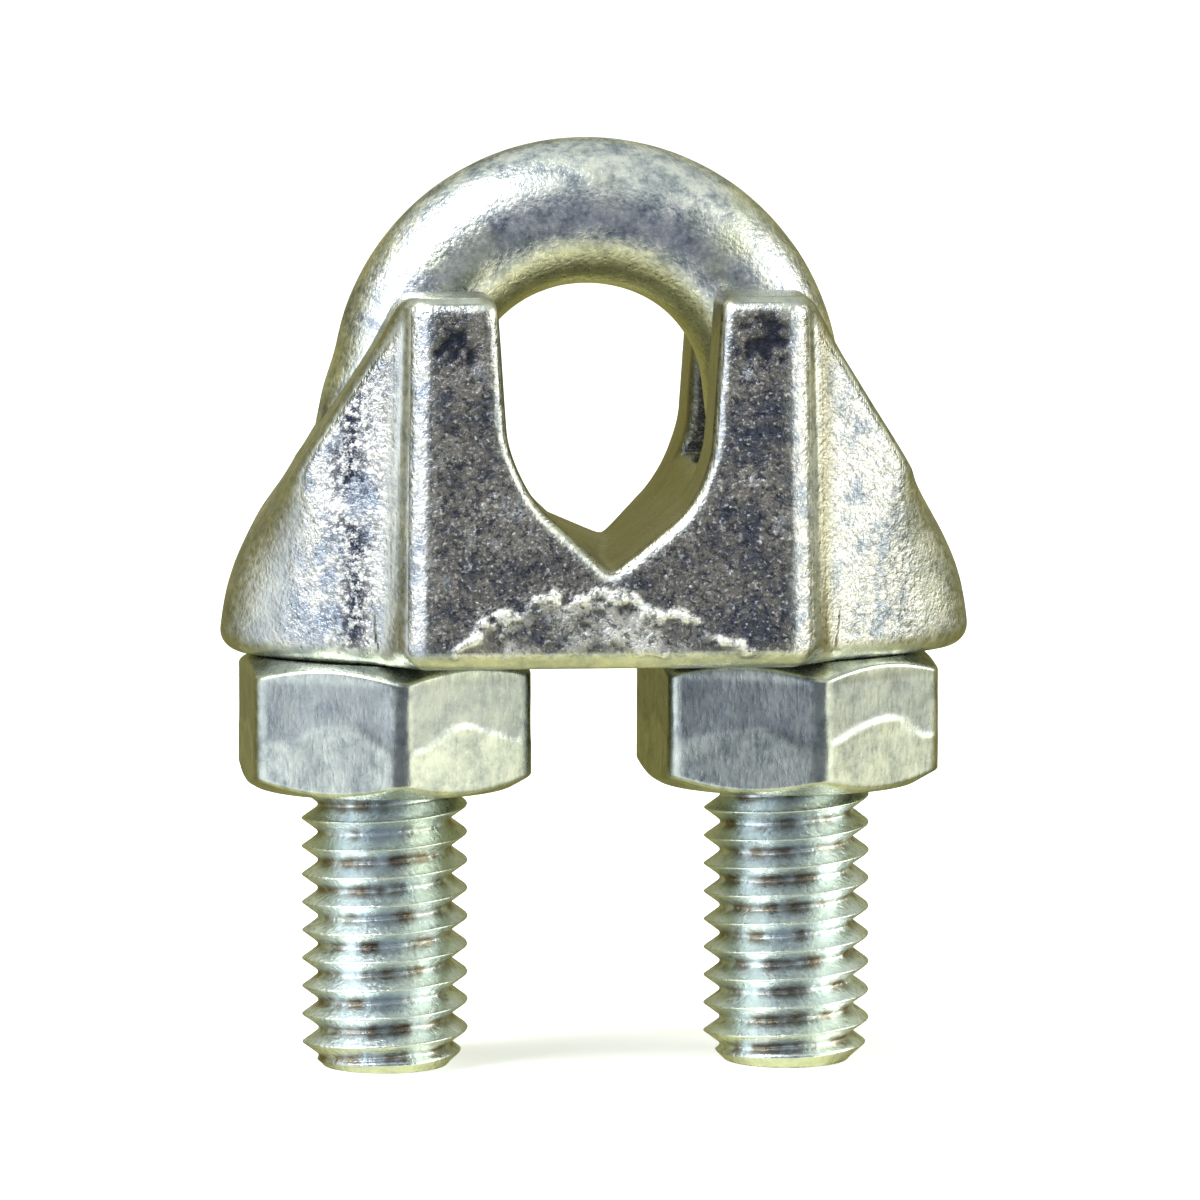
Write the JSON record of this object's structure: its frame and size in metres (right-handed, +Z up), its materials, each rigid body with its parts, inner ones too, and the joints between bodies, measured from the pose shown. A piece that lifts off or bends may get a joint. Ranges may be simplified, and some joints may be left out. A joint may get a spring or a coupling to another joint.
{
  "type": "wire rope clip",
  "caption": "U-bolt with threaded legs, cast saddle with a rope seat, and hex nuts that draw the saddle up to clamp doubled wire rope.",
  "frame": {"origin": "on the saddle's middle plane, at the plane of the two leg ends; the legs' own middle is 0.33 mm to -X of it", "axes": "+Z up along the legs towards the bow, X from leg to leg, Y along the clamped rope with the front face at -Y"},
  "size_m": [0.0268, 0.014, 0.0329],
  "materials": {
    "zinc_steel": "zinc-plated cold-formed bar, satin",
    "zinc_cast": "zinc-plated rough casting",
    "zinc_nut": "zinc-plated cold-formed hex nut, satin"
  },
  "bodies": {
    "u_bolt": {"u_bolt": "zinc_steel"},
    "saddle": {"saddle": "zinc_cast"},
    "left_nut": {"left_nut": "zinc_nut"},
    "right_nut": {"right_nut": "zinc_nut"}
  },
  "joints": [
    {"name": "saddle_slide", "type": "slide", "parent": "u_bolt", "child": "saddle", "axis": [0, 0, 1], "range_m": [-0.0094, 0]},
    {"name": "left_nut_spin", "type": "hinge", "parent": "saddle", "child": "left_nut", "pos_m": [-0.00748, 0, 0.0124], "axis": [0, 0, 1], "range_deg": [-3400, 0]},
    {"name": "right_nut_spin", "type": "hinge", "parent": "saddle", "child": "right_nut", "pos_m": [0.00682, 0, 0.0124], "axis": [0, 0, 1], "range_deg": [-3400, 0]}
  ],
  "couplings": [
    {"joint": "left_nut_spin", "follows": "saddle_slide", "rad_per_m": 6283.2},
    {"joint": "right_nut_spin", "follows": "saddle_slide", "rad_per_m": 6283.2}
  ]
}
